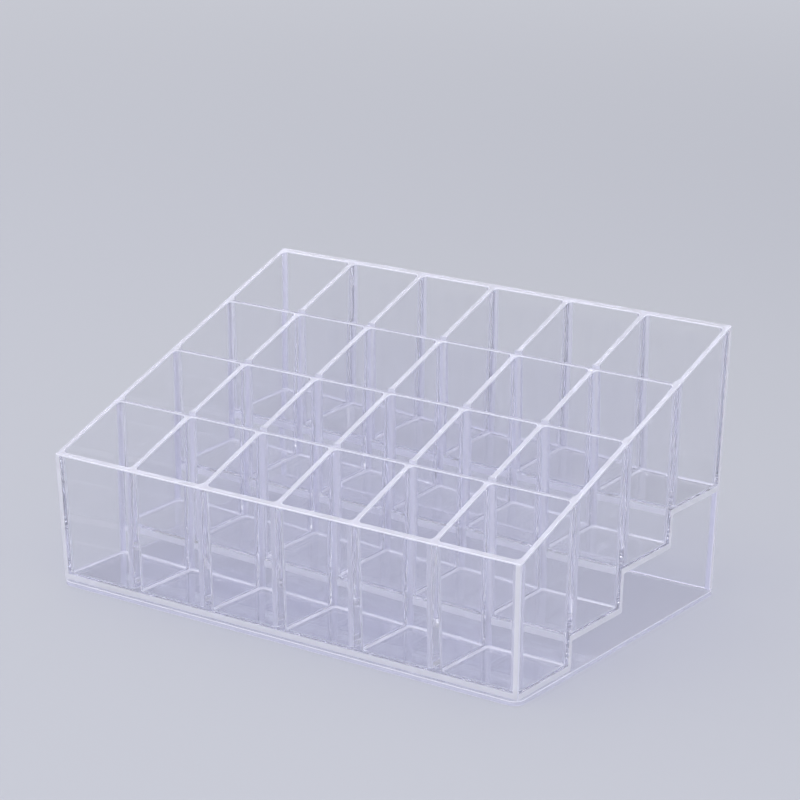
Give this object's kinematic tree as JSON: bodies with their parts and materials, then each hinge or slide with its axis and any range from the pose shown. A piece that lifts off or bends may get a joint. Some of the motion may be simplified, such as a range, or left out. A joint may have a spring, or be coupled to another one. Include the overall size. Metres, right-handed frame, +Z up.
{
  "type": "makeup organizer",
  "caption": "Low, clear stepped cosmetics organizer: rows of open square cells rise to the back, on a flat base sheet.",
  "frame": {"origin": "under the middle of the object, on the base sheet's lower face that rests on the table", "axes": "+X along the rows, +Y from the low front to the high back, +Z up"},
  "size_m": [0.145, 0.0974, 0.0729],
  "materials": {
    "clear_moulding": "clear colourless injection-moulded polystyrene, polished",
    "clear_sheet": "clear colourless extruded polystyrene sheet, glossy, cut edges"
  },
  "bodies": {
    "root": {"front_wall": "clear_moulding", "back_wall": "clear_moulding", "left_end_wall": "clear_moulding", "right_end_wall": "clear_moulding", "row_wall_1": "clear_moulding", "row_wall_2": "clear_moulding", "row_wall_3": "clear_moulding", "row_1_floor": "clear_moulding", "row_2_floor": "clear_moulding", "row_3_floor": "clear_moulding", "row_4_floor": "clear_moulding", "row_1_divider_1": "clear_moulding", "row_1_divider_2": "clear_moulding", "row_1_divider_3": "clear_moulding", "row_1_divider_4": "clear_moulding", "row_1_divider_5": "clear_moulding", "row_2_divider_1": "clear_moulding", "row_2_divider_2": "clear_moulding", "row_2_divider_3": "clear_moulding", "row_2_divider_4": "clear_moulding", "row_2_divider_5": "clear_moulding", "row_3_divider_1": "clear_moulding", "row_3_divider_2": "clear_moulding", "row_3_divider_3": "clear_moulding", "row_3_divider_4": "clear_moulding", "row_3_divider_5": "clear_moulding", "row_4_divider_1": "clear_moulding", "row_4_divider_2": "clear_moulding", "row_4_divider_3": "clear_moulding", "row_4_divider_4": "clear_moulding", "row_4_divider_5": "clear_moulding", "base_sheet": "clear_sheet"}
  },
  "joints": []
}
